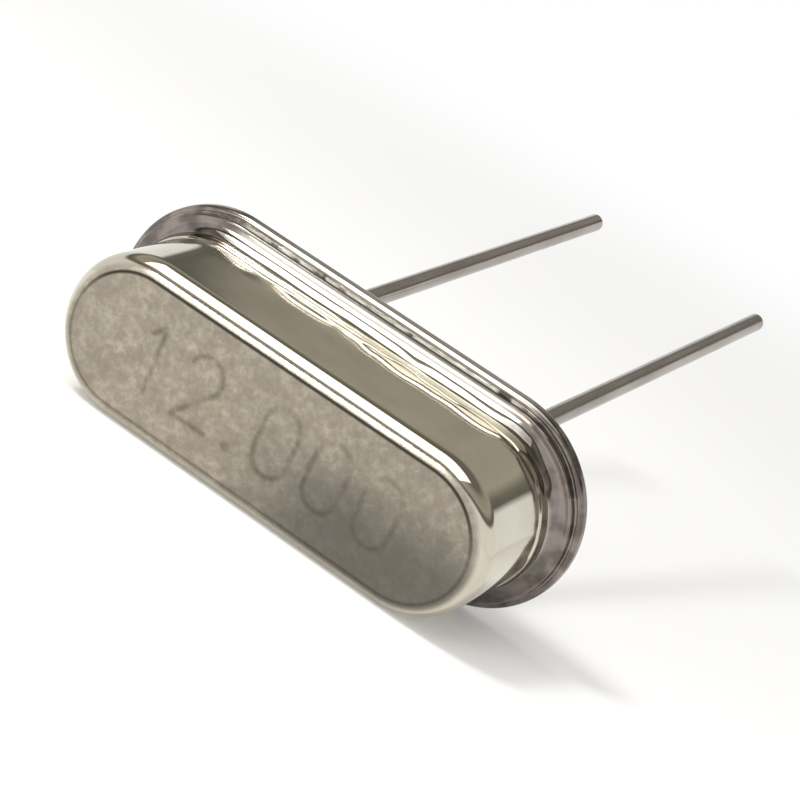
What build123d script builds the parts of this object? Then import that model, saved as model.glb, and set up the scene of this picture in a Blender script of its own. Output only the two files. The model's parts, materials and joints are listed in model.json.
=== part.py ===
from build123d import *

import math
import os

# A low quartz crystal unit: a drawn metal can welded to a glass-sealed base with two wire leads.
#
# The pieces are drawn upright. The underside of the base is at height zero, the can rises
# from it and the leads point down. X runs along the can, Y runs across it. The last step lays
# the finished unit on its long side, where it comes to rest on the rim of its base and the
# shoulder of its can. All sizes are in millimetres and all angles in degrees.

# Can: one drawn cup of sheet metal with a rim that turns out at its foot
can_length = 10.15
can_width = 3.45
body_height = 3.2
can_wall = 0.2
shoulder_radius = 0.4
foot_radius = 0.3

# Base: one stamped plate whose raised platform enters the can
rim_reach = 0.55
rim_thickness = 0.3
rim_edge_radius = 0.1
can_rim_setback = 0.15
can_rim_edge_cut = 0.05
platform_rise = 0.35
platform_clearance = 0.1
platform_edge_cut = 0.1

# Leads and the glass that holds and insulates them
lead_pitch = 4.88
lead_diameter = 0.43
lead_length = 16.4
lead_tip_cut = 0.06
shank_swell = 0.02
lead_stub = 0.12
lead_head_diameter = 0.8
lead_head_thickness = 0.15
seal_diameter = 1.4
seal_recess = 0.03
seal_sag = 0.06
seal_climb = 0.12

# Quartz strip and the metal films on its two faces
blank_length = 8.0
blank_width = 2.0
blank_thickness = 0.14
film_thickness = 0.01
film_length = 4.4
film_width = 1.5
film_tab_width = 0.5
film_tab_end_gap = 0.2

# Spring clips that carry the ends of the strip, and the conductive glue that fixes it
clip_thickness = 0.1
clip_width = 1.3
clip_bend_radius = 0.12
clip_foot_length = 0.95
clip_step_height = 0.55
clip_step_run = 0.3
clip_stop_height = 0.4
clip_stop_gap = 0.15
glue_bed = 0.04
glue_crown = 0.12
glue_radius = 0.5

# The plan of every stamped or drawn piece has the same straight run between its round ends
straight_run = can_length - can_width
can_half_width = can_width / 2
rim_half_width = can_half_width + rim_reach
can_rim_half_width = rim_half_width - can_rim_setback
can_inner_half_width = can_half_width - can_wall
platform_half_width = can_inner_half_width - platform_clearance

# Heights above the underside of the base
can_rim_top = rim_thickness + can_wall
platform_top = rim_thickness + platform_rise
head_bottom = platform_top + lead_stub
clip_bottom = head_bottom + lead_head_thickness
shelf_top = clip_bottom + clip_step_height + clip_thickness
blank_bottom = shelf_top + glue_bed + film_thickness
blank_top = blank_bottom + blank_thickness

lead_radius = lead_diameter / 2
blank_end = blank_length / 2
clip_stop_inner = blank_end + clip_stop_gap

sides = {"left": -1, "right": 1}


def outline(corners):
    """Close an outline of (distance, height, radius) corners, each rounded to its radius."""
    points = [(distance, height) for distance, height, _ in corners]
    radii = [radius for _, _, radius in corners]
    return make_face(FilletPolyline(*points, radius=radii, close=True))


def carried_round(section):
    """Carry a section round the plan; its first axis is the distance from the plan's middle line."""
    side = extrude(Plane.YZ * section, amount=straight_run / 2, both=True)
    start = Plane(origin=(straight_run / 2, 0, 0), x_dir=(0, -1, 0), z_dir=(-1, 0, 0))
    pivot = Axis((straight_run / 2, 0, 0), (0, 0, 1))
    end = revolve(start * section, axis=pivot, revolution_arc=180)
    return side + mirror(side, Plane.XZ) + end + mirror(end, Plane.YZ)


def plate(half_width, bottom, top):
    """Raise a plate with round ends between two heights."""
    plan = SlotOverall(straight_run + 2 * half_width, 2 * half_width)
    return Pos(0, 0, bottom) * extrude(plan, amount=top - bottom)


def turned(section, offset):
    """Turn a section of (radius, height) about an upright axis that stands off the middle along X."""
    return Pos(offset, 0, 0) * revolve(Plane.XZ * section, axis=Axis.Z)


def make_can():
    section = outline(
        [
            (0, body_height, 0),
            (can_half_width, body_height, shoulder_radius),
            (can_half_width, can_rim_top, foot_radius),
            (can_rim_half_width - can_rim_edge_cut, can_rim_top, 0),
            (can_rim_half_width, can_rim_top - can_rim_edge_cut, 0),
            (can_rim_half_width, rim_thickness, 0),
            (can_inner_half_width, rim_thickness, foot_radius + can_wall),
            (can_inner_half_width, body_height - can_wall, shoulder_radius - can_wall),
            (0, body_height - can_wall, 0),
        ]
    )
    return carried_round(section)


def make_base():
    rim = plate(rim_half_width, 0, rim_thickness)
    levels = rim.edges().group_by(Axis.Z)
    rim = fillet(levels[0] + levels[-1], rim_edge_radius)
    platform = plate(platform_half_width, rim_thickness, platform_top)
    platform = chamfer(platform.edges().group_by(Axis.Z)[-1], platform_edge_cut)
    base = rim + platform
    for side in sides.values():
        base -= Pos(side * lead_pitch / 2, 0, platform_top / 2) * Cylinder(seal_diameter / 2, 2 * platform_top)
    return base


def shank_radius(height):
    """Give the radius of the wire inside the base, which swells from the underside to its head."""
    return lead_radius + shank_swell * height / head_bottom


def make_lead(side):
    section = outline(
        [
            (0, -lead_length, 0),
            (lead_radius - lead_tip_cut, -lead_length, 0),
            (lead_radius, lead_tip_cut - lead_length, 0),
            (lead_radius, 0, 0),
            (shank_radius(head_bottom), head_bottom, 0),
            (lead_head_diameter / 2, head_bottom, 0),
            (lead_head_diameter / 2, clip_bottom, 0),
            (0, clip_bottom, 0),
        ]
    )
    return turned(section, side * lead_pitch / 2)


def make_glass_seal(side):
    """Melt the glass between wire and hole; below, it climbs both walls and dips between them."""
    wall = seal_diameter / 2
    dip = seal_recess + seal_sag
    upper = platform_top - seal_recess
    section = outline(
        [
            (shank_radius(seal_recess), seal_recess, 0),
            (shank_radius(seal_recess) + seal_climb, dip, 0),
            (wall - seal_climb, dip, 0),
            (wall, seal_recess, 0),
            (wall, upper, 0),
            (shank_radius(upper), upper, 0),
        ]
    )
    return turned(section, side * lead_pitch / 2)


def make_clip(side):
    """Bend one strip of spring metal: foot on the lead's head, step, shelf under the quartz and end stop."""
    foot_height = clip_bottom + clip_thickness / 2
    shelf_height = shelf_top - clip_thickness / 2
    stop = clip_stop_inner + clip_thickness / 2
    foot_start = (lead_pitch - clip_foot_length) / 2
    foot_end = (lead_pitch + clip_foot_length) / 2
    shelf_start = foot_end + clip_step_run
    route = FilletPolyline(
        (foot_start, foot_height),
        (foot_end, foot_height),
        (shelf_start, shelf_height),
        (stop, shelf_height),
        (stop, shelf_top + clip_stop_height),
        radius=clip_bend_radius,
    )
    strip = extrude(Plane.XZ * trace(route, clip_thickness), amount=clip_width / 2, both=True)
    return strip if side > 0 else mirror(strip, Plane.YZ)


def make_blank():
    return Pos(0, 0, blank_bottom) * extrude(Rectangle(blank_length, blank_width), amount=blank_thickness)


def make_film(side, bottom):
    """Lay one electrode in the middle of the quartz with a tab that runs out to one end."""
    field = Rectangle(film_length, film_width)
    tab_length = blank_end - film_tab_end_gap
    tab = Pos(side * tab_length / 2, 0) * Rectangle(tab_length, film_tab_width)
    return Pos(0, 0, bottom) * extrude(field + tab, amount=film_thickness)


def make_glue(side, quartz, films, clip):
    """Set a dab of glue on the shelf; it beds the end of the strip, wraps it and reaches its film."""
    height = blank_top + glue_crown - shelf_top
    dab = Pos(side * (clip_stop_inner - glue_radius), 0, shelf_top) * extrude(Circle(glue_radius), amount=height)
    for neighbour in [quartz, *films, clip]:
        dab -= neighbour
    return dab


def lying(upright):
    """Place the upright unit on its long side, where rim and shoulder both touch the ground.

    The rim's upper edge and the can's shoulder are two arcs in section, and the ground is the
    straight line that touches both.
    """
    rim_arc = (rim_half_width - rim_edge_radius, rim_thickness - rim_edge_radius)
    shoulder_arc = (can_half_width - shoulder_radius, body_height - shoulder_radius)
    inward = rim_arc[0] - shoulder_arc[0]
    upward = shoulder_arc[1] - rim_arc[1]
    reach = math.hypot(inward, upward)
    tilt = math.degrees(math.atan2(inward, upward) - math.asin((shoulder_radius - rim_edge_radius) / reach))
    turn = Rot(90 + tilt, 0, 0)
    box = (turn * upright).bounding_box()
    return Pos(0, -(box.min.Y + box.max.Y) / 2, -box.min.Z) * turn


def make_unit():
    """Make every piece upright, under the name that it is kept by."""
    unit = {"can": make_can(), "base": make_base(), "quartz_blank": make_blank()}
    unit["electrode_upper"] = make_film(sides["left"], blank_top)
    unit["electrode_lower"] = make_film(sides["right"], blank_bottom - film_thickness)
    films = [unit["electrode_upper"], unit["electrode_lower"]]
    for name, side in sides.items():
        unit[f"lead_{name}"] = make_lead(side)
        unit[f"glass_seal_{name}"] = make_glass_seal(side)
        unit[f"mount_clip_{name}"] = make_clip(side)
        unit[f"conductive_glue_{name}"] = make_glue(side, unit["quartz_blank"], films, unit[f"mount_clip_{name}"])
    return unit


def main():
    unit = make_unit()
    place = lying(Compound(children=[unit["can"], unit["base"], unit["lead_left"]]))
    os.makedirs("parts", exist_ok=True)
    for name, piece in unit.items():
        solid = (place * piece).solid()
        solid.label = name
        export_step(solid, f"parts/{name}.step")


main()
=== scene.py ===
"""Looks of a low quartz crystal unit that lies on its long side.

Every piece is drawn upright in millimetres: the underside of the base is at height zero, the can
rises from it, the leads point down, X runs along the can and Y across it. A finished mesh is then
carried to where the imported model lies, in metres.
"""

import json
import logging
import math
from collections.abc import Iterable
from dataclasses import dataclass, field
from enum import Enum
from typing import ClassVar

import bmesh
import bpy
from mathutils import Matrix, Vector


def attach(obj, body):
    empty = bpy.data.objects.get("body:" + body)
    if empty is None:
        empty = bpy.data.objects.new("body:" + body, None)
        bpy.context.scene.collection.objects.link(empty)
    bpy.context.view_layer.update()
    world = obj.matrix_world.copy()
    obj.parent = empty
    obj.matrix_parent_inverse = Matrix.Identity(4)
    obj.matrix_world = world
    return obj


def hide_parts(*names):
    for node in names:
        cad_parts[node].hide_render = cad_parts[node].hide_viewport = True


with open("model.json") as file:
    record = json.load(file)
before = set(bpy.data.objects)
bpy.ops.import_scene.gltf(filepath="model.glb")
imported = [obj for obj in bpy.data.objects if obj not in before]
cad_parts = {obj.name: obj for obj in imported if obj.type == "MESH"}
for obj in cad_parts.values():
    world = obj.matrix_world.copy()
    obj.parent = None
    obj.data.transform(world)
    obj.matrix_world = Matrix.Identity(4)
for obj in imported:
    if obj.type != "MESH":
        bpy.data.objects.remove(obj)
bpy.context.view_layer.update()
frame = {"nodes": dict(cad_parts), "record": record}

LOG = logging.getLogger("crystal_unit")

MM = 0.001
BODY = "root"
SHARP_ANGLE = math.radians(32)
LEAST_EDGE = 1e-8

Colour = Place = tuple[float, float, float]
Point = Span = tuple[float, float]
Values = dict[str | int, object]
Material, Mesh, Object = bpy.types.Material, bpy.types.Mesh, bpy.types.Object
Socket = bpy.types.NodeSocket


class Side(Enum):
    """Ends of the unit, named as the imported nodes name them."""

    LEFT = "left"
    RIGHT = "right"


def put_in_scene(name: str, data: bpy.types.ID) -> Object:
    """Make an object and link it to the scene.

    Args:
        name: Name of the object.
        data: Its mesh, light or camera.

    Returns:
        The object.
    """
    made = bpy.data.objects.new(name, data)
    bpy.context.scene.collection.objects.link(made)
    return made


def take_result(worker: Object, *helpers: Object) -> Mesh:
    """Turn what an object's modifiers make into a plain mesh, and remove the object.

    Args:
        worker: The object.
        helpers: Objects that its modifiers use, which are removed too.

    Returns:
        The mesh.
    """
    graph = bpy.context.evaluated_depsgraph_get()
    mesh = bpy.data.meshes.new_from_object(
        worker.evaluated_get(graph), preserve_all_data_layers=True, depsgraph=graph
    )
    worker.modifiers.clear()
    for unused in (worker, *helpers):
        bpy.data.objects.remove(unused)
    return mesh


# Node graphs


class Signal:
    """A number that nodes work out, written as ordinary arithmetic."""

    def __init__(self, graph: "Graph", socket: Socket) -> None:
        """Keep the socket and the graph that holds it."""
        self.graph, self.socket = graph, socket

    def __add__(self, other: "Signal | float") -> "Signal":
        """Add a number."""
        return self.graph.maths("ADD", self, other)

    def __sub__(self, other: "Signal | float") -> "Signal":
        """Subtract a number."""
        return self.graph.maths("SUBTRACT", self, other)

    def __rsub__(self, other: float) -> "Signal":
        """Subtract from a plain number."""
        return self.graph.maths("SUBTRACT", other, self)

    def __mul__(self, other: "Signal | float") -> "Signal":
        """Multiply by a number."""
        return self.graph.maths("MULTIPLY", self, other)

    def __truediv__(self, other: "Signal | float") -> "Signal":
        """Divide by a number."""
        return self.graph.maths("DIVIDE", self, other)

    def __rtruediv__(self, other: float) -> "Signal":
        """Divide a plain number."""
        return self.graph.maths("DIVIDE", other, self)

    def __pow__(self, other: "Signal | float") -> "Signal":
        """Raise to a power."""
        return self.graph.maths("POWER", self, other)

    def __mod__(self, other: "Signal | float") -> "Signal":
        """Keep the remainder of a division."""
        return self.graph.maths("FLOORED_MODULO", self, other)

    __radd__ = __add__
    __rmul__ = __mul__

    def floor(self) -> "Signal":
        """Round down to a whole number."""
        return self.graph.maths("FLOOR", self)

    def cos(self) -> "Signal":
        """Take the cosine of an angle in radians."""
        return self.graph.maths("COSINE", self)

    def sin(self) -> "Signal":
        """Take the sine of an angle in radians."""
        return self.graph.maths("SINE", self)

    def size(self) -> "Signal":
        """Take the number without its sign."""
        return self.graph.maths("ABSOLUTE", self)

    def lesser(self, other: "Signal | float") -> "Signal":
        """Keep the lesser of two numbers."""
        return self.graph.maths("MINIMUM", self, other)

    def greater(self, other: "Signal | float") -> "Signal":
        """Keep the greater of two numbers."""
        return self.graph.maths("MAXIMUM", self, other)

    def hypot(self, other: "Signal") -> "Signal":
        """Give the length of a vector whose two parts are at right angles."""
        return (self * self + other * other) ** 0.5

    def rise(self, start: float, end: float) -> "Signal":
        """Rise smoothly from nought to one.

        Args:
            start: Value below which the result is nought.
            end: Value above which it is one.

        Returns:
            The eased step.
        """
        inputs = {"Value": self, "From Min": start, "From Max": end}
        made = self.graph.node("ShaderNodeMapRange", {"interpolation_type": "SMOOTHSTEP"}, inputs)
        return Signal(self.graph, made.outputs["Result"])


class Graph:
    """A node tree whose nodes all come from one method."""

    def __init__(self, tree: bpy.types.NodeTree) -> None:
        """Start on an empty tree."""
        self.tree = tree
        tree.nodes.clear()

    def node(self, kind: str, settings: Values | None = None, inputs: Values | None = None) -> bpy.types.Node:
        """Make a node.

        Args:
            kind: Blender's type name of the node.
            settings: Properties that are set before its sockets are used; "stops" fills a ramp.
            inputs: Numbers, signals or sockets for its inputs, by name or place.

        Returns:
            The new node.
        """
        made = self.tree.nodes.new(kind)
        for name, value in (settings or {}).items():
            if name == "stops":
                self.fill_ramp(made.color_ramp, value)
            else:
                setattr(made, name, value)
        for name, value in (inputs or {}).items():
            value = value.socket if isinstance(value, Signal) else value
            if isinstance(value, Socket):
                self.tree.links.new(value, made.inputs[name])
            else:
                made.inputs[name].default_value = value
        return made

    @staticmethod
    def fill_ramp(ramp: bpy.types.ColorRamp, stops: list[tuple[float, Colour]]) -> None:
        """Give a colour ramp its stops.

        Args:
            ramp: The ramp, which starts with two stops.
            stops: Place and colour of each stop.
        """
        while len(ramp.elements) < len(stops):
            ramp.elements.new(0.5)
        for element, (place, colour) in zip(ramp.elements, stops):
            element.position, element.color = place, (*colour, 1.0)

    def maths(self, operation: str, *values: Signal | float) -> Signal:
        """Add a Math node with its one or two operands."""
        made = self.node("ShaderNodeMath", {"operation": operation}, dict(enumerate(values)))
        return Signal(self, made.outputs[0])

    def parts(self, vector: Socket) -> tuple[Signal, ...]:
        """Split a vector into its three numbers."""
        made = self.node("ShaderNodeSeparateXYZ", inputs={"Vector": vector})
        return tuple(Signal(self, output) for output in made.outputs)

    def blend(
        self, factor: Signal, first: Colour | Socket, second: Colour | Socket, mode: str = "MIX"
    ) -> Socket:
        """Mix two colours.

        Args:
            factor: Share of the second colour.
            first: Colour where the factor is nought.
            second: Colour where the factor is one.
            mode: Blend mode of the mix.

        Returns:
            Socket of the mixed colour.
        """
        pair = [(*value, 1.0) if isinstance(value, tuple) else value for value in (first, second)]
        settings = {"data_type": "RGBA", "blend_type": mode}
        return self.node("ShaderNodeMix", settings, {0: factor, 6: pair[0], 7: pair[1]}).outputs[2]


# Place of the unit


@dataclass(frozen=True)
class Seat:
    """Place of the upright unit as it lies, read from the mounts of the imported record."""

    origin: Vector
    down: Vector
    lead_pitch: float
    lead_radius: float

    @classmethod
    def from_record(cls, record: dict) -> "Seat":
        """Read the place of the underside and the leads.

        Args:
            record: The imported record.

        Returns:
            The seat of the unit.
        """
        mounts = {mount["name"]: mount for mount in record["mounts"]}
        face, left, right = (mounts[name] for name in ("seating_face", "lead_left", "lead_right"))
        pitch = (Vector(right["pos_m"]) - Vector(left["pos_m"])).length / MM
        return cls(Vector(face["pos_m"]), Vector(face["axis"]).normalized(), pitch, left["dims"]["r_mm"])

    @property
    def matrix(self) -> Matrix:
        """Map from upright millimetres to metres as the unit lies.

        Returns:
            The map.
        """
        along, up = Vector((1, 0, 0)), -self.down
        turn = Matrix((along, up.cross(along), up)).transposed()
        return Matrix.Translation(self.origin) @ turn.to_4x4() @ Matrix.Scale(MM, 4)

    def extent(self, node: str) -> tuple[Vector, Vector]:
        """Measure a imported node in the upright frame.

        Args:
            node: Name of the node.

        Returns:
            Its lowest and highest corner in millimetres.
        """
        upright = self.matrix.inverted()
        points = [upright @ vertex.co for vertex in frame["nodes"][node].data.vertices]
        low, high = (Vector(map(pick, zip(*points))) for pick in (min, max))
        return low, high

    def lay(self, name: str, mesh: Mesh, slot: str, nodes: Iterable[str] = ()) -> None:
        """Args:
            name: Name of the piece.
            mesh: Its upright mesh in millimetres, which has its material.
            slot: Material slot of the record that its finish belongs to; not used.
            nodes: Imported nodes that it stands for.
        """
        mesh.name = name
        mesh.transform(self.matrix)
        work = bmesh.new()
        work.from_mesh(mesh)
        bmesh.ops.dissolve_degenerate(work, dist=LEAST_EDGE, edges=work.edges)
        bmesh.ops.recalc_face_normals(work, faces=work.faces)
        open_edges = sum(not edge.is_manifold for edge in work.edges)
        work.to_mesh(mesh)
        work.free()
        mesh.shade_smooth()
        mesh.set_sharp_from_angle(angle=SHARP_ANGLE)
        piece = put_in_scene(name, mesh)
        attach(piece, BODY)
        if nodes:
            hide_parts(*nodes)
        LOG.info("%s: %d faces, %d open edges", name, len(mesh.polygons), open_edges)


# Outlines of sections


@dataclass
class Outline:
    """A line of (distance, height) points whose corners are rounded by arcs."""

    run_step: float = 0.16
    arc_step: float = math.radians(7)
    shoulder_margin: float = 0.02
    points: list[Point] = field(default_factory=list)

    def line(self, corners: list[tuple[float, float, float]]) -> list[Point]:
        """Draw the line through its corners.

        Args:
            corners: Distance, height and radius of each corner.

        Returns:
            The points of the line, in order.
        """
        self.points = []
        for index, (distance, height, radius) in enumerate(corners):
            here = Vector((distance, height))
            if radius > 0:
                before, after = (Vector(corners[index + side][:2]) for side in (-1, 1))
                self.round_corner(before, here, after, radius)
            else:
                self.run_to(here)
        return self.points

    def run_to(self, end: Vector) -> None:
        """Add a straight run, with a point close to each of its ends so that its shading stays flat.

        Args:
            end: Where the run ends.
        """
        if self.points:
            start = Vector(self.points[-1])
            length = (end - start).length
            margin = min(self.shoulder_margin, length / 4)
            steps = max(1, round((length - 2 * margin) / self.run_step))
            inner = (length - 2 * margin) / steps
            if length > 4 * self.shoulder_margin:
                places = (start.lerp(end, (margin + step * inner) / length) for step in range(steps + 1))
                self.points.extend(place.to_tuple() for place in places)
        self.points.append(end.to_tuple())

    def round_corner(self, before: Vector, corner: Vector, after: Vector, radius: float) -> None:
        """Add the arc that rounds a corner.

        Args:
            before: The corner before it.
            corner: The corner itself.
            after: The corner after it.
            radius: Radius of the arc.
        """
        arrive, leave = (corner - before).normalized(), (after - corner).normalized()
        turn = math.atan2(arrive.x * leave.y - arrive.y * leave.x, arrive.dot(leave))
        start = corner - arrive * radius * math.tan(abs(turn) / 2)
        normal = Vector((-arrive.y, arrive.x)) * math.copysign(radius, turn)
        self.run_to(start)
        steps = max(2, math.ceil(abs(turn) / self.arc_step))
        for step in range(1, steps + 1):
            arm = Matrix.Rotation(turn * step / steps, 2) @ normal
            self.points.append((start + normal - arm).to_tuple())


# Forms made by geometry nodes


@dataclass(frozen=True)
class Ripple:
    """Slight swell of a drawn or melted surface: height and spacing in millimetres, and a fixed seed."""

    height: float = 0.0
    spacing: float = 1.0
    seed: float = 0.0


class CarriedLine:
    """Geometry nodes that carry a section round a plan with two straight sides and two round ends.

    The section lies in the XZ plane, with X as its distance from the plan's middle line. With no
    straight run the plan is a circle and the section is turned. Loose ends of the section are on
    the middle line, where its points merge.
    """

    sizes: dict[str, float | int] = {
        "Section points": 2,
        "Closed section": 0,
        "Steps per end": 72,
        "Steps per side": 44,
        "Straight run": 0.0,
        "Offset along": 0.0,
        "Wave height": 0.0,
        "Wave spacing": 1.0,
        "Wave level": 0.0,
        "Wave reach": 1.0,
        "Wave outward": 0.0,
        "Ripple height": 0.0,
        "Ripple spacing": 1.0,
        "Seed": 0.0,
    }
    merge_distance: float = 0.00005
    rounding: float = 0.0005

    def __init__(self) -> None:
        """Build the tree, which ends in real geometry with its finish."""
        self.tree = bpy.data.node_groups.new("carried_line", "GeometryNodeTree")
        self.graph = Graph(self.tree)
        self.identifiers: dict[str, str] = {}
        self.add_input("Line", "NodeSocketGeometry")
        self.add_input("Finish", "NodeSocketMaterial")
        for label, default in self.sizes.items():
            kind = "NodeSocketInt" if isinstance(default, int) else "NodeSocketFloat"
            self.add_input(label, kind).default_value = default
        self.tree.interface.new_socket("Form", in_out="OUTPUT", socket_type="NodeSocketGeometry")
        self.entry = self.graph.node("NodeGroupInput")
        inputs = {"Geometry": self.place_points(), "Distance": self.merge_distance}
        merged = self.graph.node("GeometryNodeMergeByDistance", inputs=inputs)
        form = self.add_ripple(merged.outputs[0])
        real = self.graph.node("GeometryNodeRealizeInstances", inputs={0: form})
        inputs = {"Geometry": real.outputs[0], "Material": self.entry.outputs["Finish"]}
        dressed = self.graph.node("GeometryNodeSetMaterial", inputs=inputs)
        self.graph.node("NodeGroupOutput", inputs={0: dressed.outputs[0]})

    def add_input(self, label: str, kind: str) -> bpy.types.NodeTreeInterfaceSocket:
        """Add a named input.

        Args:
            label: Its name, under which its identifier is noted.
            kind: Blender's name of its type.

        Returns:
            The input.
        """
        socket = self.tree.interface.new_socket(label, in_out="INPUT", socket_type=kind)
        self.identifiers[label] = socket.identifier
        return socket

    def size(self, label: str) -> Signal:
        """Give a named input as a signal."""
        return Signal(self.graph, self.entry.outputs[label])

    def place_points(self) -> Socket:
        """Bend a grid, which has a column for each station of the plan and a row for each section point.

        Returns:
            Socket of the carried section.
        """
        graph, points = self.graph, self.size("Section points")
        end_steps, side_steps = self.size("Steps per end"), self.size("Steps per side")
        rows, half = points + self.size("Closed section"), end_steps + side_steps
        sheet = graph.node("GeometryNodeMeshGrid", inputs={"Vertices X": half * 2 + 1, "Vertices Y": rows})
        index = Signal(graph, graph.node("GeometryNodeInputIndex").outputs[0])
        sampled = graph.node(
            "GeometryNodeSampleIndex",
            {"data_type": "FLOAT_VECTOR", "domain": "POINT"},
            {
                "Geometry": self.entry.outputs["Line"],
                "Value": graph.node("GeometryNodeInputPosition").outputs[0],
                "Index": index % rows % points,
            },
        )
        distance, _, height = graph.parts(sampled.outputs[0])
        station = (index / rows + self.rounding).floor()
        lap = (station / half + self.rounding).floor()
        step = station - lap * half
        angle = (lap + step.lesser(end_steps) / end_steps - 0.5) * math.pi
        passed = (step - end_steps).greater(0) / side_steps
        centre = self.size("Straight run") * (0.5 - passed) * (1 - 2 * (lap % 2)) + self.size("Offset along")
        shift = self.wave(centre + distance * angle.cos(), distance * angle.sin(), height)
        swollen = distance + shift * self.size("Wave outward")
        parts = {0: centre + swollen * angle.cos(), 1: swollen * angle.sin(), 2: height + shift}
        place = graph.node("ShaderNodeCombineXYZ", inputs=parts)
        inputs = {"Geometry": sheet.outputs["Mesh"], "Position": place.outputs[0]}
        return graph.node("GeometryNodeSetPosition", inputs=inputs).outputs[0]

    def wave(self, along: Signal, across: Signal, height: Signal) -> Signal:
        """Shift points near one level up and down, so that a step there wanders along the plan.

        Args:
            along: Place of a point along the plan.
            across: Its place across the plan.
            height: Its height.

        Returns:
            The shift in height.
        """
        plan = self.graph.node("ShaderNodeCombineXYZ", inputs={0: along, 1: across, 2: self.size("Seed")})
        inputs = {"Vector": plan.outputs[0], "Scale": 1 / self.size("Wave spacing"), "Detail": 2.0}
        noise = self.graph.node("ShaderNodeTexNoise", inputs=inputs)
        near = (1 - (height - self.size("Wave level")).size() / self.size("Wave reach")).greater(0)
        return near * (Signal(self.graph, noise.outputs[0]) - 0.5) * 2 * self.size("Wave height")

    def add_ripple(self, form: Socket) -> Socket:
        """Let the surface swell and sink a little along its normals, as drawn metal does.

        Args:
            form: Socket of the smooth form.

        Returns:
            Socket of the rippled form.
        """
        inputs = {"W": self.size("Seed"), "Scale": 1 / self.size("Ripple spacing"), "Detail": 1.0}
        noise = self.graph.node("ShaderNodeTexNoise", {"noise_dimensions": "4D"}, inputs)
        swell = (Signal(self.graph, noise.outputs[0]) - 0.5) * 2 * self.size("Ripple height")
        inputs = {"Vector": self.graph.node("GeometryNodeInputNormal").outputs[0], "Scale": swell}
        offset = self.graph.node("ShaderNodeVectorMath", {"operation": "SCALE"}, inputs)
        inputs = {"Geometry": form, "Offset": offset.outputs[0]}
        return self.graph.node("GeometryNodeSetPosition", inputs=inputs).outputs[0]

    def carry(self, section: list[Point], finish: Material, ripple: Ripple, **values: float) -> Mesh:
        """Carry a section round a plan.

        Args:
            section: Points of the section.
            finish: Material of the piece.
            ripple: Ripple of its surface.
            values: Further inputs of the tree, with spaces written as underscores.

        Returns:
            The mesh, upright and in millimetres.
        """
        line = bpy.data.meshes.new("section")
        line.from_pydata([(distance, 0, height) for distance, height in section], [], [])
        worker = put_in_scene("section_worker", line)
        modifier = worker.modifiers.new("carried_line", "NODES")
        modifier.node_group = self.tree
        swell = {"Ripple_height": ripple.height, "Ripple_spacing": ripple.spacing, "Seed": ripple.seed}
        given = {"Finish": finish, "Section_points": len(section), **swell, **values}
        for label, value in given.items():
            modifier[self.identifiers[label.replace("_", " ")]] = value
        return take_result(worker)

    def turn(
        self,
        section: list[Point],
        finish: Material,
        offset: float,
        steps: int,
        ripple: Ripple = Ripple(),
        closed: bool = False,
    ) -> Mesh:
        """Turn a section of (radius, height) about an upright axis.

        Args:
            section: Points of the section.
            finish: Material of the piece.
            offset: Place of the axis along X, which also shifts the seed.
            steps: Number of steps in half a turn.
            ripple: Ripple of its surface.
            closed: Whether the section's last point joins its first.

        Returns:
            The mesh, upright and in millimetres.
        """
        plan = {"Steps_per_end": steps, "Steps_per_side": 1, "Offset_along": offset}
        seed = ripple.seed + offset
        return self.carry(section, finish, ripple, **plan, Closed_section=int(closed), Seed=seed)


# Finishes


@dataclass
class Surface(Graph):
    """Base of the finishes, whose patterns lie in the upright frame in millimetres."""

    seat: Seat
    name: ClassVar[str] = "surface"

    def __post_init__(self) -> None:
        """Open the nodes of a new material and paint the finish."""
        self.material = bpy.data.materials.new(self.name)
        self.material.use_nodes = True
        super().__init__(self.material.node_tree)
        objects = self.node("ShaderNodeTexCoord").outputs["Object"]
        place, turn, scale = self.seat.matrix.decompose()
        inputs = {"Vector": objects, "Location": place, "Rotation": turn.to_euler(), "Scale": scale}
        self.place = self.node("ShaderNodeMapping", {"vector_type": "TEXTURE"}, inputs).outputs[0]
        self.along, self.across, self.height = self.parts(self.place)
        self.paint()

    def paint(self) -> None:
        """Draw the finish; each finish has its own."""
        raise NotImplementedError

    def noise(
        self,
        spacing: float,
        detail: float = 3.0,
        stretch: Place = (1.0, 1.0, 1.0),
        turn: float = 0.0,
        grit: float = 0.5,
    ) -> Signal:
        """Add a noise pattern.

        Args:
            spacing: Size of its patches in millimetres.
            detail: Number of finer layers.
            stretch: How much longer the patches are along each axis.
            turn: Angle in degrees by which they turn about the height axis.
            grit: Strength of each finer layer against the one before it.

        Returns:
            The pattern, about one half on average.
        """
        inputs = {"Vector": self.place, "Rotation": (0, 0, math.radians(turn)), "Scale": stretch}
        laid = self.node("ShaderNodeMapping", {"vector_type": "TEXTURE"}, inputs)
        inputs = {"Vector": laid.outputs[0], "Scale": 1 / spacing, "Detail": detail, "Roughness": grit}
        return Signal(self, self.node("ShaderNodeTexNoise", inputs=inputs).outputs[0])

    def shade(self, tone: Socket, rough: Signal, relief: Signal, depth: float, **others: object) -> None:
        """End the nodes with a Principled shader.

        Args:
            tone: Base colour.
            rough: Roughness.
            relief: Pattern that raises the surface.
            depth: Height in millimetres that one stands above nought.
            others: Further inputs of the shader.
        """
        bump = self.node("ShaderNodeBump", inputs={"Height": relief, "Distance": depth * MM})
        inputs = {"Base Color": tone, "Roughness": rough, "Normal": bump.outputs[0], **others}
        shader = self.node("ShaderNodeBsdfPrincipled", inputs=inputs)
        self.node("ShaderNodeOutputMaterial", inputs={"Surface": shader.outputs[0]})


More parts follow.
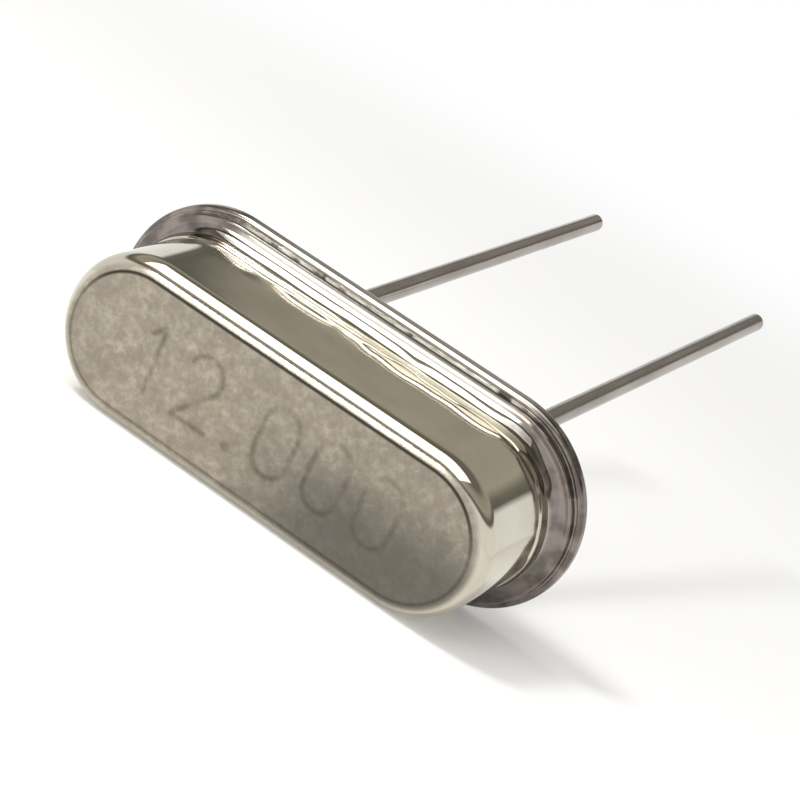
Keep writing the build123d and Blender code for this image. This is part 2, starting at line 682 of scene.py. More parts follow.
@dataclass
class WeldedMetal(Surface):
    """Metal beside the ring weld, tinted brown strongly round the ends and faintly between: partly the weld's
    heat tint, partly painted dark reflection.
    """

    half_run: float
    heat_and_reflection_colour: Colour = (0.27, 0.235, 0.215)
    deep_heat_and_reflection_colour: Colour = (0.145, 0.124, 0.114)
    side_share: float = 0.08
    tint_span: Span = (-0.35, 0.55)
    tint_drift: float = 1.2

    def reach(self) -> Signal:
        """Measure the distance from the middle line of the plan."""
        return (self.along.size() - self.half_run).greater(0).hypot(self.across)

    def tint(self, tone: Socket, share: Signal | float) -> Socket:
        """Tint a colour brown where the heat reached it; round the ends the tint is partly painted dark
        reflection.

        Args:
            tone: Socket of the colour.
            share: Strength of the tint at the ends.

        Returns:
            Socket of the tinted colour.
        """
        # Brown tint, strongest round the ends: partly heat tint, partly painted dark reflection.
        past = self.along.size() - self.half_run + (self.noise(0.9) - 0.5) * self.tint_drift
        dark_reach = past.rise(*self.tint_span) * (1 - self.side_share) + self.side_share
        blotches = self.noise(0.42, 5.0, (1.0, 1.0, 2.0)).rise(0.36, 0.64)
        brown = self.blend(blotches, self.heat_and_reflection_colour, self.deep_heat_and_reflection_colour)
        return self.blend(dark_reach * share, tone, brown)


@dataclass(frozen=True)
class LaserFigures:
    """Faint plain figures, the frequency in megahertz, that a laser drew along the flat top: 12.000.

    Where a curved stroke has ended, its distance grows by the field away, so that it isn't drawn.
    """

    along: Signal
    across: Signal
    height: float = 1.45
    width: float = 0.8
    stem_share: float = 0.12
    flag_share: float = 0.3
    flag_foot_share: float = 0.66
    arc_start: float = math.radians(165)
    arc_end: float = math.radians(-40)
    pitch: float = 1.22
    one_place: float = -2.8
    two_place: float = -1.58
    point_place: float = -0.66
    noughts_start: float = -0.31
    noughts: int = 3
    stroke: float = 0.11
    point_radius: float = 0.04
    softness: float = 0.1
    away: float = 20.0

    def to_line(self, start: Point, end: Point) -> Signal:
        """Measure the distance to a straight stroke.

        Args:
            start: One end of the stroke.
            end: Its other end.

        Returns:
            The distance.
        """
        run, lift = end[0] - start[0], end[1] - start[1]
        span = run * run + lift * lift
        along, across = self.along - start[0], self.across - start[1]
        share = (along * (run / span) + across * (lift / span)).greater(0).lesser(1)
        return (along - share * run).hypot(across - share * lift)

    def to_one(self) -> Signal:
        """Measure the distance to the one.

        Returns:
            The distance to its short flag or its upright stem.
        """
        half, stem = self.height / 2, self.one_place + self.width * self.stem_share
        flag = self.to_line((stem - self.width * self.flag_share, half * self.flag_foot_share), (stem, half))
        return flag.lesser(self.to_line((stem, half), (stem, -half)))

    def to_two(self) -> Signal:
        """Measure the distance to the two.

        Returns:
            The distance to its arc, its slanting back or its foot.
        """
        radius, half, middle = self.width / 2, self.height / 2, self.two_place
        first, last = (
            (math.cos(angle) * radius, math.sin(angle) * radius)
            for angle in (self.arc_start, self.arc_end)
        )
        side = Vector((first[1] - last[1], last[0] - first[0])).normalized()
        along, raised = self.along - middle, self.across - (half - radius)
        below = (side.dot(first) - along * side.x - raised * side.y).greater(0)
        head = (along.hypot(raised) - radius).size() + below * self.away
        back = self.to_line((middle + last[0], half - radius + last[1]), (middle - radius, -half))
        foot = self.to_line((middle - radius, -half), (middle + radius, -half))
        return head.lesser(back).lesser(foot)

    def to_nought(self) -> Signal:
        """Measure the distance to the nearest nought.

        Returns:
            The distance to its two round ends and the straight sides between them.
        """
        passed, radius = self.along - self.noughts_start, self.width / 2
        outside = (0 - passed).greater(passed - self.noughts * self.pitch).greater(0)
        raised = (self.across.size() - (self.height / 2 - radius)).greater(0)
        return ((passed % self.pitch - self.pitch / 2).hypot(raised) - radius).size() + outside * self.away

    def draw(self) -> Signal:
        """Draw all figures.

        Returns:
            One on a stroke and nought beside it.
        """
        point = (self.along - self.point_place).hypot(self.across + (self.height - self.stroke) / 2)
        nearest = self.to_one().lesser(self.to_two()).lesser(self.to_nought())
        nearest = nearest.lesser(point - self.point_radius)
        return 1 - nearest.rise((self.stroke - self.softness) / 2, (self.stroke + self.softness) / 2)


@dataclass(kw_only=True)
class DrawnCan(WeldedMetal):
    """Bright drawn nickel silver: smooth walls, a satin mottled top and a foot tinted brown by heat and by
    painted dark reflection.
    """

    name = "drawn_can"
    top_height: float
    rim_half_width: float
    colour: Colour = (0.64, 0.60, 0.50)
    shade_colour: Colour = (0.57, 0.52, 0.425)
    foot_colour: Colour = (0.74, 0.72, 0.65)
    beige: Colour = (0.46, 0.418, 0.342)
    olive: Colour = (0.34, 0.317, 0.236)
    umber: Colour = (0.265, 0.228, 0.19)
    # Colour of the painted dark reflection on the top's right end.
    dark_reflection_colour: Colour = (0.108, 0.104, 0.09)
    line_colour: Colour = (0.035, 0.031, 0.025)
    figure_shade: Colour = (0.40, 0.375, 0.32)
    # Painted shade in a darker band just above the cove, below the clamp's step.
    cove_shade_colour: Colour = (0.36, 0.332, 0.262)
    top_depths: Span = (0.10, 0.012)
    rim_line_depths: Span = (0.075, 0.045)
    rim_line_top: Span = (0.52, 0.58)
    foot_top: Span = (0.6, 0.86)
    cove_shade_start: Span = (0.74, 0.84)
    cove_shade_end: Span = (0.9, 1.02)
    # Reach of the ring of painted dark reflection inside the top's shoulder.
    reflection_ring_start: Span = (1.34, 1.39)
    reflection_ring_end: Span = (1.41, 1.45)
    wall_roughness: float = 0.07
    top_roughness: float = 0.32

    def top_tone(self) -> Socket:
        """Mottle the top in olive and umber, with painted dark reflection at the lower side of its right end.

        Returns:
            Socket of the colour.
        """
        patches = self.noise(0.9, 6.0, grit=0.68).rise(0.38, 0.62)
        flecks = self.noise(0.3, 5.0, turn=35, grit=0.68).rise(0.38, 0.62)
        specks = self.noise(0.13, 4.0, turn=15, grit=0.6).rise(0.4, 0.62)
        drift = (self.noise(0.7, 6.0, turn=70, grit=0.6) - 0.5) * 1.9
        # Painted dark reflection: darker towards the right end and the lower side of the top.
        dark_reach = (self.along - self.across * 0.4 + drift).rise(-0.9, 2.3)
        low = 1 - (self.across + drift * 0.4).rise(-0.6, 0.9) * 0.88
        tone = self.blend(patches * 0.75, self.beige, self.olive)
        tone = self.blend(flecks * 0.6, tone, self.umber)
        tone = self.blend(specks * 0.5, tone, self.umber)
        return self.blend(dark_reach * low * 0.8, tone, self.dark_reflection_colour)

    def wall_tone(self, foot: Signal) -> Socket:
        """Colour the wall, a band of painted shade above the cove up to the clamp's step, the foot and the
        dark line at the rim's edge.

        Args:
            foot: One on the foot and rim and nought above.

        Returns:
            Socket of the colour.
        """
        clouds = self.noise(0.9, 5.0).rise(0.34, 0.68)
        # Painted shade: a darker band from the top of the cove up to the clamp's step.
        cove_shade = self.height.rise(*self.cove_shade_start) * (1 - self.height.rise(*self.cove_shade_end))
        line = self.reach().rise(*(self.rim_half_width - depth for depth in self.rim_line_depths))
        line = (1 - self.height.rise(*self.rim_line_top)) * line
        tone = self.blend(clouds * 0.8, self.colour, self.shade_colour)
        tone = self.blend(foot * 0.8, tone, self.foot_colour)
        tone = self.blend(cove_shade * 0.75, tone, self.cove_shade_colour)
        tone = self.blend(line * 0.9, tone, self.line_colour)
        # The foot takes the brown tint: partly heat tint, partly painted dark reflection.
        return self.tint(tone, foot)

    def paint(self) -> None:
        """Draw the wall, the top with its ring of painted dark reflection, and the figures."""
        reach = self.reach()
        top = self.height.rise(*(self.top_height - depth for depth in self.top_depths))
        # Painted reflection: a dark ring just inside the top's shoulder, stronger on one long side.
        ring = top * reach.rise(*self.reflection_ring_start) * (1 - reach.rise(*self.reflection_ring_end))
        ring = ring * (0.4 + self.across.rise(0.1, 1.2) * 0.55)
        foot = 1 - self.height.rise(*self.foot_top)
        mottle = self.noise(0.22)
        grain = self.noise(0.055)
        drawn = self.noise(0.05, 2.0, (1.0, 1.0, 30.0))
        worn = 0.25 + self.noise(0.5, 4.0, turn=15).rise(0.3, 0.6) * 0.75
        faded = 1 - self.along.rise(-1.2, 3.6) * 0.35
        figure = top * LaserFigures(self.along, self.across).draw() * worn * faded
        tone = self.blend(top, self.wall_tone(foot), self.top_tone())
        # The ring of painted dark reflection takes the dark line colour.
        tone = self.blend(ring, tone, self.line_colour)
        tone = self.blend(figure * 0.6, tone, self.figure_shade, "MULTIPLY")
        rough = self.wall_roughness + top * (self.top_roughness - self.wall_roughness) - ring * 0.14
        rough = rough + foot * 0.02 + (mottle - 0.5) * (0.02 + top * 0.16)
        relief = grain * (0.1 + top * 1.3) + drawn * (1 - top) * 0.1 + mottle * top * 1.6 - figure * 2
        self.shade(tone, rough, relief, 0.0016, Metallic=1.0)


@dataclass(kw_only=True)
class PlatedBase(WeldedMetal):
    """Stamped steel under satin nickel plate, tinted brown on the side of the can by the heat of the weld and
    by painted dark reflection.
    """

    name = "plated_base"
    weld_distance: float
    colour: Colour = (0.66, 0.64, 0.58)
    worn_colour: Colour = (0.52, 0.49, 0.435)
    burnt_colour: Colour = (0.06, 0.052, 0.045)
    roughness: float = 0.17
    weld_reach: float = 0.05
    underside: Span = (0.01, 0.09)
    upper_side: Span = (0.1, 0.24)

    def scratches(self, spacing: float, turns: Iterable[float]) -> Signal:
        """Draw thin scattered scratches in a few directions.

        Args:
            spacing: Width of the gaps between them in millimetres.
            turns: Their directions in degrees about the height axis.

        Returns:
            One on a scratch and nought beside it.
        """
        found: Signal | float = 0.0
        for turn in turns:
            lines = self.noise(spacing, 1.0, (40.0, 1.0, 40.0), turn).rise(0.69, 0.74)
            broken = self.noise(spacing * 18, 1.0, turn=turn + 40).rise(0.5, 0.62)
            found = (lines * broken).greater(found)
        return found

    def paint(self) -> None:
        """Draw the worn plate, the dark weld line on it and the scratched underside."""
        under = 1 - self.height.rise(*self.underside)
        beside = (self.reach() - self.weld_distance).size().rise(self.weld_reach * 0.5, self.weld_reach)
        line = self.height.rise(*self.upper_side) * (1 - beside)
        clouds = self.noise(1.1, 4.0).rise(0.35, 0.7)
        grain = self.noise(0.045)
        marks = self.scratches(0.05, (25.0, 98.0, 160.0)) * under
        tone = self.blend(clouds * 0.6, self.colour, self.worn_colour)
        # Brown tint on the upper side: partly heat tint, partly painted dark reflection.
        tone = self.tint(self.blend(line * 0.85, tone, self.burnt_colour), 1 - under)
        rough = self.roughness + under * 0.15 + (grain - 0.5) * 0.12 + marks * 0.1
        self.shade(tone, rough, grain * (0.4 + under) - marks * 0.6, 0.0015, Metallic=1.0)


@dataclass
class WeldedSeam(WeldedMetal):
    """Metal that the ring weld melted: bright, with a few burnt runs."""

    name = "welded_seam"
    colour: Colour = (0.70, 0.68, 0.62)
    burnt_colour: Colour = (0.08, 0.07, 0.06)

    def paint(self) -> None:
        """Draw the burnt runs and the pits."""
        burnt = self.noise(0.5, 4.0).rise(0.5, 0.64)
        # Brown tint: partly heat tint, partly painted dark reflection.
        tone = self.tint(self.blend(burnt, self.colour, self.burnt_colour), 0.9)
        self.shade(tone, 0.2 + burnt * 0.2, self.noise(0.03, 2.0), 0.002, Metallic=1.0)


@dataclass
class TinnedWire(Surface):
    """Drawn wire with a bright tin coat, which shows faint lines along its length; its colours are darkened
    as painted shade.
    """

    name = "tinned_wire"
    # Tin colours darkened as painted shade.
    colour: Colour = (0.41, 0.372, 0.34)
    dark_tin_colour: Colour = (0.24, 0.214, 0.196)
    roughness: float = 0.15

    def paint(self) -> None:
        """Draw the tin, darker in clouds and near the base."""
        drawn = self.noise(0.035, 2.0, (1.0, 1.0, 60.0))
        clouds = self.noise(0.7, 4.0, (1.0, 1.0, 3.0)).rise(0.35, 0.7)
        pits = self.noise(0.05)
        # Darker in clouds and near the base.
        darkening = clouds * 0.5 + self.height.rise(-0.9, 0.1) * 0.35
        rough = self.roughness + (pits - 0.5) * 0.14 + clouds * 0.08
        tone = self.blend(darkening, self.colour, self.dark_tin_colour)
        self.shade(tone, rough, drawn * 0.6 + pits * 0.8, 0.002, Metallic=1.0)


@dataclass
class FiredGlass(Surface):
    """Dark sealing glass with a fire-polished skin, small pits and a few bubbles."""

    name = "fired_glass"
    colour: Colour = (0.028, 0.027, 0.030)
    ash_colour: Colour = (0.085, 0.078, 0.075)

    def paint(self) -> None:
        """Draw the ashy skin and its pits."""
        clouds = self.noise(0.25, 4.0).rise(0.4, 0.7)
        cells = self.node("ShaderNodeTexVoronoi", {"feature": "F1"}, {"Vector": self.place, "Scale": 9.0})
        pit = 1 - Signal(self, cells.outputs["Distance"]).rise(0.1, 0.26)
        tone = self.blend(clouds, self.colour, self.ash_colour)
        self.shade(tone, 0.12 + clouds * 0.16, clouds * 0.5 - pit, 0.008, IOR=1.52)


@dataclass
class SpringStrip(Surface):
    """Rolled spring strip, with fine lines along the strip."""

    name = "spring_strip"
    colour: Colour = (0.63, 0.60, 0.54)
    shade_colour: Colour = (0.50, 0.47, 0.42)

    def paint(self) -> None:
        """Draw the rolled lines."""
        rolled = self.noise(0.03, 3.0, (50.0, 1.0, 50.0))
        clouds = self.noise(0.8).rise(0.35, 0.7)
        tone = self.blend(clouds * 0.6, self.colour, self.shade_colour)
        self.shade(tone, 0.18 + rolled * 0.12, rolled, 0.0015, Metallic=1.0)


@dataclass
class SilverResin(Surface):
    """Matte silver-filled resin with flakes."""

    name = "silver_resin"
    colour: Colour = (0.58, 0.58, 0.57)
    binder_colour: Colour = (0.36, 0.35, 0.34)

    def paint(self) -> None:
        """Draw the flakes and lumps."""
        flakes = self.noise(0.03, 4.0)
        tone = self.blend(flakes.rise(0.4, 0.65), self.colour, self.binder_colour)
        relief = flakes + self.noise(0.15) * 2
        self.shade(tone, 0.55 + (flakes - 0.5) * 0.4, relief, 0.006, Metallic=0.55)


@dataclass
class LappedQuartz(Surface):
    """Clear quartz whose faces are lapped to a fine frost."""

    name = "lapped_quartz"
    colour: Colour = (0.90, 0.92, 0.93)
    frost_colour: Colour = (0.78, 0.81, 0.82)

    def paint(self) -> None:
        """Draw the frost."""
        frost = self.noise(0.02)
        tone = self.blend(frost, self.colour, self.frost_colour)
        self.shade(tone, 0.28 + frost * 0.25, frost, 0.0008, IOR=1.54, Alpha=0.45 + frost * 0.2)


@dataclass
class SilverFilm(Surface):
    """Evaporated silver, mirror-like with a faint bloom."""

    name = "silver_film"
    colour: Colour = (0.85, 0.85, 0.84)
    bloom_colour: Colour = (0.74, 0.71, 0.66)

    def paint(self) -> None:
        """Draw the bloom."""
        bloom = self.noise(0.6, 4.0).rise(0.45, 0.75)
        tone = self.blend(bloom, self.colour, self.bloom_colour)
        self.shade(tone, 0.14 + bloom * 0.12, self.noise(0.02, 2.0), 0.0005, Metallic=1.0)


# Sub-assemblies


@dataclass
class SubAssembly:
    """Base of the sub-assemblies, which know where the unit lies and how a section is carried."""

    seat: Seat
    carried: CarriedLine


@dataclass
class Can(SubAssembly):
    """Drawn can: one sheet cup with a rounded shoulder, a cove at its foot and a rim."""

    width: float = 3.45
    wall: float = 0.2
    shoulder_radius: float = 0.4
    foot_radius: float = 0.3
    rim_edge_radius: float = 0.055
    ripple: Ripple = Ripple(0.0022, 1.5, 3.0)
    clamp_level: float = 0.97
    clamp_step: float = 0.03
    clamp_height: float = 0.05
    clamp_radius: float = 0.04
    clamp_wave: float = 0.3
    clamp_wave_spacing: float = 1.1
    clamp_wave_reach: float = 0.42
    clamp_wave_outward: float = 0.13

    def __post_init__(self) -> None:
        """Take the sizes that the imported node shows."""
        low, high = self.seat.extent("can")
        self.rim_bottom, self.top, self.rim_half_width = low.z, high.z, high.y
        self.straight_run = 2 * (high.x - high.y)

    def section(self) -> list[Point]:
        """Draw the sheet's section from the middle of the top round the rim to the middle inside.

        The small step above the foot is where the welding clamp gripped the can.

        Returns:
            The points of the section.
        """
        outer, inner = self.width / 2, self.width / 2 - self.wall
        swollen, rim_top = outer + self.clamp_step, self.rim_bottom + self.wall
        upper, lower = (self.clamp_level + side * self.clamp_height / 2 for side in (1, -1))
        return Outline().line(
            [
                (0, self.top, 0),
                (outer, self.top, self.shoulder_radius),
                (outer, upper, self.clamp_radius),
                (swollen, lower, self.clamp_radius),
                (swollen, rim_top, self.foot_radius),
                (self.rim_half_width, rim_top, self.rim_edge_radius),
                (self.rim_half_width, self.rim_bottom, self.rim_edge_radius / 2),
                (inner, self.rim_bottom, self.foot_radius + self.wall),
                (inner, self.top - self.wall, self.shoulder_radius - self.wall),
                (0, self.top - self.wall, 0),
            ]
        )

    def build(self) -> None:
        """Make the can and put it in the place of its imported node."""
        finish = DrawnCan(
            self.seat, self.straight_run / 2, top_height=self.top, rim_half_width=self.rim_half_width
        )
        mesh = self.carried.carry(
            self.section(),
            finish.material,
            self.ripple,
            Straight_run=self.straight_run,
            Wave_height=self.clamp_wave,
            Wave_spacing=self.clamp_wave_spacing,
            Wave_level=self.clamp_level,
            Wave_reach=self.clamp_wave_reach,
            Wave_outward=self.clamp_wave_outward,
        )
        self.seat.lay("can_shell", mesh, "can_metal", ["can"])


@dataclass
class Base(SubAssembly):
    """Stamped base: a rim under the can's rim, a raised middle and two holes for the glass."""

    rim_thickness: float = 0.3
    rim_edge_radius: float = 0.1
    platform_half_width: float = 1.425
    platform_edge_radius: float = 0.1
    platform_foot_radius: float = 0.03
    hole_radius: float = 0.7
    hole_edge_radius: float = 0.05
    hole_edge_steps: int = 8
    hole_steps: int = 48
    tool_start: float = -0.3
    tool_end: float = 1.0
    tool_play: float = 0.002
    ripple: Ripple = Ripple(0.002, 1.2, 8.0)
    seam_outset: float = 0.012
    seam_lift: float = 0.015
    seam_radius: float = 0.034
    seam_points: int = 10
    seam_end_steps: int = 110
    seam_side_steps: int = 120
    seam_ripple: Ripple = Ripple(0.016, 0.24, 21.0)
    weld_line_outset: float = 0.045

    def __post_init__(self) -> None:
        """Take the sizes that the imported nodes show."""
        high = self.seat.extent("base")[1]
        self.rim_half_width, self.platform_top = high.y, high.z
        self.straight_run = 2 * (high.x - high.y)
        self.seam_distance = self.seat.extent("can")[1].y + self.seam_outset

    def section(self) -> list[Point]:
        """Draw the section from the middle of the platform round the rim to the middle below.

        Returns:
            The points of the section.
        """
        return Outline().line(
            [
                (0, self.platform_top, 0),
                (self.platform_half_width, self.platform_top, self.platform_edge_radius),
                (self.platform_half_width, self.rim_thickness, self.platform_foot_radius),
                (self.rim_half_width, self.rim_thickness, self.rim_edge_radius),
                (self.rim_half_width, 0, self.rim_edge_radius),
                (0, 0, 0),
            ]
        )

    def tool_section(self) -> list[Point]:
        """Draw the half section of the tool that cuts a hole and rounds both its edges.

        Returns:
            The points of the section.
        """
        edge, play, start, end = self.hole_edge_radius, self.tool_play, self.tool_start, self.tool_end
        wide, outline = self.hole_radius + edge, Outline(run_step=0.5)
        lower = outline.line([(0, start, 0), (wide, start, 0), (wide, -play, 0)])
        upper = outline.line([(wide, self.platform_top + play, 0), (wide, end, 0), (0, end, 0)])
        arc = [math.pi / 2 * step / self.hole_edge_steps for step in range(self.hole_edge_steps + 1)]
        enter = [(wide - edge * math.sin(angle), edge - play - edge * math.cos(angle)) for angle in arc]
        leave = [(distance, self.platform_top - height) for distance, height in reversed(enter)]
        return [*lower[:-1], *enter, *leave, *upper[1:]]

    def cut_holes(self, plate: Mesh, finish: Material) -> Mesh:
        """Cut the two holes for the glass.

        Args:
            plate: The whole plate.
            finish: Material of the cut faces.

        Returns:
            The plate with its holes.
        """
        body, tools = put_in_scene("plate", plate), []
        for side in (-1, 1):
            offset = side * self.seat.lead_pitch / 2
            form = self.carried.turn(self.tool_section(), finish, offset, self.hole_steps)
            tools.append(put_in_scene("hole_tool", form))
            modifier = body.modifiers.new("hole", "BOOLEAN")
            modifier.operation, modifier.solver, modifier.object = "DIFFERENCE", "EXACT", tools[-1]
        return take_result(body, *tools)

    def build(self) -> None:
        """Make the base and the weld seam on it."""
        weld_distance = self.seam_distance + self.weld_line_outset
        finish = PlatedBase(self.seat, self.straight_run / 2, weld_distance=weld_distance).material
        plate = self.carried.carry(self.section(), finish, self.ripple, Straight_run=self.straight_run)
        self.seat.lay("base_plate", self.cut_holes(plate, finish), "base_metal", ["base"])
        self.build_seam()

    def build_seam(self) -> None:
        """Lay the uneven bead of the ring weld where the can's rim ends on the base."""
        height = self.rim_thickness + self.seam_lift
        angles = [math.tau * step / self.seam_points for step in range(self.seam_points)]
        radius = self.seam_radius
        bead = [
            (self.seam_distance + radius * math.cos(angle), height + radius * math.sin(angle))
            for angle in angles
        ]
        seam = self.carried.carry(
            bead,
            WeldedSeam(self.seat, self.straight_run / 2).material,
            self.seam_ripple,
            Straight_run=self.straight_run,
            Steps_per_end=self.seam_end_steps,
            Steps_per_side=self.seam_side_steps,
            Closed_section=1,
        )
        self.seat.lay("weld_seam", seam, "base_metal")


@dataclass
class LeadWithSeal(SubAssembly):
    """One wire lead and the glass that holds it in the base."""

    side: Side
    wire_finish: Material
    glass_finish: Material
    shank_swell: float = 0.02
    tip_radius: float = 0.09
    head_thickness: float = 0.15
    head_edge_radius: float = 0.03
    wire_steps: int = 22
    wire_ripple: Ripple = Ripple(0.003, 0.9, 31.0)
    glass_start: float = 0.045
    glass_sag: float = 0.075
    glass_fullness: float = 0.7
    glass_upper_share: float = 0.6
    glass_points: int = 14
    glass_steps: int = 40
    glass_ripple: Ripple = Ripple(0.006, 0.35, 41.0)

    def __post_init__(self) -> None:
        """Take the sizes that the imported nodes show."""
        low, high = self.seat.extent(f"lead_{self.side.value}")
        self.offset, self.head_radius = (low.x + high.x) / 2, (high.x - low.x) / 2
        self.tip, self.head_top, self.head_bottom = low.z, high.z, high.z - self.head_thickness
        glass_low, glass_high = self.seat.extent(f"glass_seal_{self.side.value}")
        self.glass_radius, self.glass_top = (glass_high.x - glass_low.x) / 2, glass_high.z

    def shank(self, height: float) -> float:
        """Give the wire's radius inside the base, where it swells towards its head."""
        return self.seat.lead_radius + self.shank_swell * height / self.head_bottom

    def wire_section(self) -> list[Point]:
        """Draw the half section of the wire from its cut tip to its head.

        Returns:
            The points of the section.
        """
        radius, edge = self.seat.lead_radius, self.head_edge_radius
        return Outline(run_step=0.22, arc_step=math.radians(12)).line(
            [
                (0, self.tip, 0),
                (radius, self.tip, self.tip_radius),
                (radius, 0, 0),
                (self.shank(self.head_bottom), self.head_bottom, 0),
                (self.head_radius, self.head_bottom, edge),
                (self.head_radius, self.head_top, edge),
                (0, self.head_top, 0),
            ]
        )

    def glass_section(self) -> list[Point]:
        """Draw the glass between wire and wall, hollow on both faces.

        Returns:
            The points of the section.
        """
        inner, start = self.shank(self.glass_start), self.glass_start
        lower, upper = [], []
        for step in range(self.glass_points + 1):
            share = step / self.glass_points
            distance = inner + (self.glass_radius - inner) * share
            sag = self.glass_sag * (4 * share * (1 - share)) ** self.glass_fullness
            lower.append((distance, start + sag))
            upper.append((distance, self.glass_top - sag * self.glass_upper_share))
        return [*lower, *reversed(upper)]

    def build(self) -> None:
        """Make the wire and its glass."""
        side, turn = self.side.value, self.carried.turn
        section, finish = self.wire_section(), self.wire_finish
        wire = turn(section, finish, self.offset, self.wire_steps, self.wire_ripple)
        self.seat.lay(f"wire_{side}", wire, "lead_wire", [f"lead_{side}"])
        section, finish = self.glass_section(), self.glass_finish
        glass = turn(section, finish, self.offset, self.glass_steps, self.glass_ripple, closed=True)
        self.seat.lay(f"seal_{side}", glass, "seal_glass", [f"glass_seal_{side}"])


@dataclass
class HiddenParts:
    """Pieces inside the can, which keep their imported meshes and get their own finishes."""

    seat: Seat

    def build(self) -> None:
        """Dress every hidden node."""
        finishes = {
            "mount_clip": SpringStrip(self.seat).material,
            "conductive_glue": SilverResin(self.seat).material,
            "quartz_blank": LappedQuartz(self.seat).material,
            "electrode": SilverFilm(self.seat).material,
        }
        for name, node in frame["nodes"].items():
            for start, finish in finishes.items():
                if name.startswith(start):
                    for place in node.material_slots:
                        place.material = finish
                    LOG.info("%s: dressed as %s", name, finish.name)


# Studio


@dataclass(frozen=True)
class SoftBox:
    """A soft lamp that faces the unit, in metres and watts."""

    name: str
    place: Place
    size: Point
    power: float

    def hang(self) -> None:
        """Hang the lamp in the scene."""
        light = bpy.data.lights.new(self.name, "AREA")
        light.shape, light.energy = "RECTANGLE", self.power
        light.size, light.size_y = self.size
        lamp = put_in_scene(self.name, light)
        lamp.location = self.place
        lamp.rotation_euler = (-Vector(self.place)).to_track_quat("-Z", "Y").to_euler()


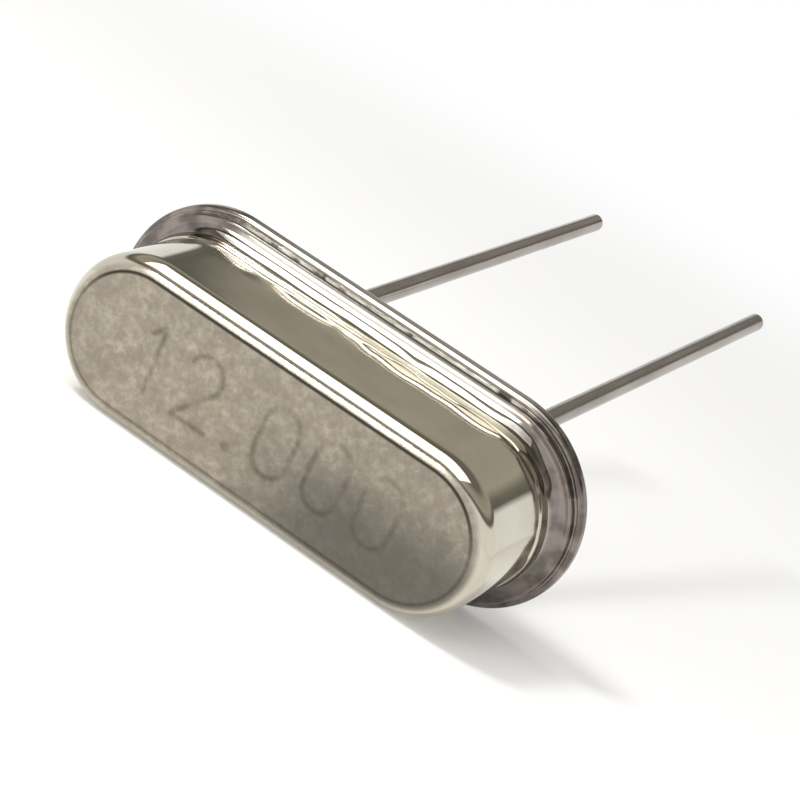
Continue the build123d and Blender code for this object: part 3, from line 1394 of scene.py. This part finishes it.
@dataclass
class Studio:
    """Pale floor, soft boxes, white surroundings and the camera.

    The places of the camera and its aim are in upright millimetres, other lengths in metres and
    angles in degrees. Each stop of the sky is an elevation with its colour.
    """

    seat: Seat
    floor_half_size: float = 0.6
    floor_gap: float = 0.00001
    floor_fade: Span = (0.02, 0.07)
    floor_colour: Colour = (0.82, 0.82, 0.82)
    floor_lift: float = 0.15
    camera_place: Place = (18.15, 22.47, 45.41)
    camera_up: Place = (-0.5569, 0.7797, -0.2861)
    camera_clip: Span = (0.001, 10.0)
    aim: Place = (0.3, -0.2, -1.8)
    lens: float = 122.0
    lamps: tuple[SoftBox, ...] = (
        SoftBox("overhead_box", (-0.022, -0.05, 0.096), (0.12, 0.085), 0.066),
        SoftBox("left_strip", (-0.044, -0.118, 0.028), (0.05, 0.05), 0.045),
        SoftBox("key_box", (-0.065, -0.065, 0.11), (0.028, 0.028), 0.08),
    )
    sky: tuple[tuple[float, Colour], ...] = (
        (22.0, (1.0, 1.0, 1.0)),
        (26.0, (0.16, 0.153, 0.14)),
        (31.0, (0.23, 0.22, 0.195)),
        (36.0, (0.475, 0.452, 0.40)),
        (50.0, (0.40, 0.38, 0.335)),
        (60.0, (0.19, 0.182, 0.16)),
    )
    card_colour: Colour = (0.16, 0.153, 0.14)
    card_azimuth: float = 127.0
    card_elevation: float = 35.0
    card_edges: Span = (7.7, 6.16)

    def build(self) -> None:
        """Set up the whole studio."""
        self.lay_floor()
        self.set_world()
        for lamp in self.lamps:
            lamp.hang()
        self.place_camera()

    def lay_floor(self) -> None:
        """Lay the floor, which the camera and the metal see as white wherever no shadow falls."""
        mesh = bpy.data.meshes.new("floor")
        corners = [
            (x * self.floor_half_size, y * self.floor_half_size, -self.floor_gap)
            for x, y in ((-1, -1), (1, -1), (1, 1), (-1, 1))
        ]
        mesh.from_pydata(corners, [], [(0, 1, 2, 3)])
        floor = put_in_scene("floor", mesh)
        material = bpy.data.materials.new("floor_paper")
        material.use_nodes = True
        graph = Graph(material.node_tree)
        across, along, _ = graph.parts(graph.node("ShaderNodeTexCoord").outputs["Object"])
        rays = graph.node("ShaderNodeLightPath")
        seen = Signal(graph, rays.outputs["Is Camera Ray"])
        for kind in ("Is Glossy Ray", "Is Transmission Ray"):
            seen = seen.greater(Signal(graph, rays.outputs[kind]))
        paper = graph.node("ShaderNodeBsdfDiffuse", inputs={"Color": (*self.floor_colour, 1.0)})
        plain, lift = (
            graph.node("ShaderNodeEmission", inputs={"Color": (1, 1, 1, 1), "Strength": strength})
            for strength in (1.0, seen * self.floor_lift)
        )
        near = graph.node("ShaderNodeAddShader", inputs={0: paper.outputs[0], 1: lift.outputs[0]})
        inputs = {0: across.hypot(along).rise(*self.floor_fade), 1: near.outputs[0], 2: plain.outputs[0]}
        mixed = graph.node("ShaderNodeMixShader", inputs=inputs)
        graph.node("ShaderNodeOutputMaterial", inputs={"Surface": mixed.outputs[0]})
        mesh.materials.append(material)

    def set_world(self) -> None:
        """Surround the unit with a low white wall, a dim room above it and one dark card."""
        world = bpy.data.worlds.new("surroundings")
        bpy.context.scene.world = world
        world.use_nodes = True
        graph = Graph(world.node_tree)
        east, north, height = graph.parts(graph.node("ShaderNodeTexCoord").outputs["Generated"])
        stops = [(math.sin(math.radians(angle)), colour) for angle, colour in self.sky]
        ramp = graph.node("ShaderNodeValToRGB", {"stops": stops}, {0: height})
        azimuth, elevation = math.radians(self.card_azimuth), math.radians(self.card_elevation)
        level = math.cos(elevation)
        facing = east * (level * math.cos(azimuth)) + north * (level * math.sin(azimuth))
        facing = facing + height * math.sin(elevation)
        card = facing.rise(*(math.cos(math.radians(angle)) for angle in self.card_edges))
        tone = graph.blend(card, ramp.outputs[0], self.card_colour)
        shader = graph.node("ShaderNodeBackground", inputs={"Color": tone, "Strength": 1.0})
        graph.node("ShaderNodeOutputWorld", inputs={"Surface": shader.outputs[0]})

    def place_camera(self) -> None:
        """Stand the camera where the photograph was taken from, turned towards the unit."""
        matrix = self.seat.matrix
        place = matrix @ Vector(self.camera_place)
        back = (place - matrix @ Vector(self.aim)).normalized()
        right = (matrix.to_3x3() @ Vector(self.camera_up)).cross(back).normalized()
        data = bpy.data.cameras.new("camera")
        data.lens = self.lens
        data.clip_start, data.clip_end = self.camera_clip
        camera = put_in_scene("camera", data)
        axes = Matrix((right, back.cross(right), back)).transposed().to_4x4()
        camera.matrix_world = Matrix.Translation(place) @ axes
        bpy.context.scene.camera = camera


def main() -> None:
    """Build every sub-assembly in order, then the studio."""
    logging.basicConfig(level=logging.INFO, format="%(name)s: %(message)s")
    bpy.context.scene.view_settings.view_transform = "Standard"
    seat, carried = Seat.from_record(frame["record"]), CarriedLine()
    Can(seat, carried).build()
    Base(seat, carried).build()
    wire, glass = TinnedWire(seat).material, FiredGlass(seat).material
    for side in Side:
        LeadWithSeal(seat, carried, side, wire, glass).build()
    HiddenParts(seat).build()
    Studio(seat).build()


if __name__ == "__main__":
    main()
